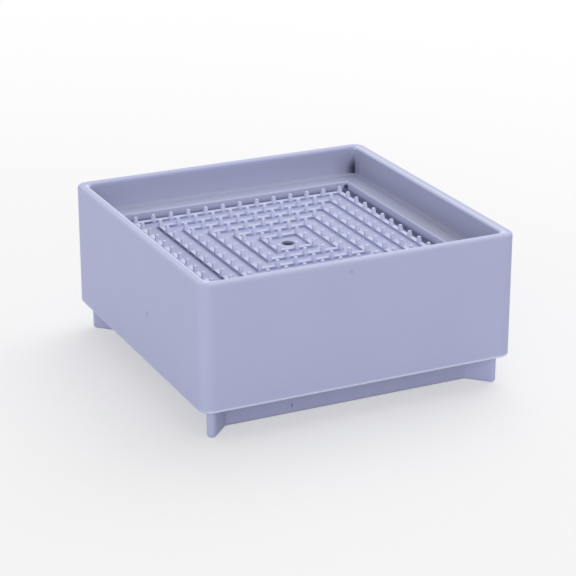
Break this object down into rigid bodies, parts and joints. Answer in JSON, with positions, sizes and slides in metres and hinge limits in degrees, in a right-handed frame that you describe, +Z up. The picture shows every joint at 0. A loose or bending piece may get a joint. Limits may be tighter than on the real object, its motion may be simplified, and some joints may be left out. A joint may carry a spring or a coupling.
{
  "type": "bed riser",
  "caption": "Square plastic bed riser: a walled recess with a studded grip field takes a furniture leg, above a short plinth with corner fins as feet.",
  "frame": {"origin": "middle of the footprint, on the ground under the plinth and the fins", "axes": "+Z up, X and Y square to the sides of the skirt"},
  "size_m": [0.1, 0.1, 0.0475],
  "materials": {
    "plastic": "fine matt mould finish, lavender grey"
  },
  "bodies": {
    "root": {"riser": "plastic"}
  },
  "joints": []
}
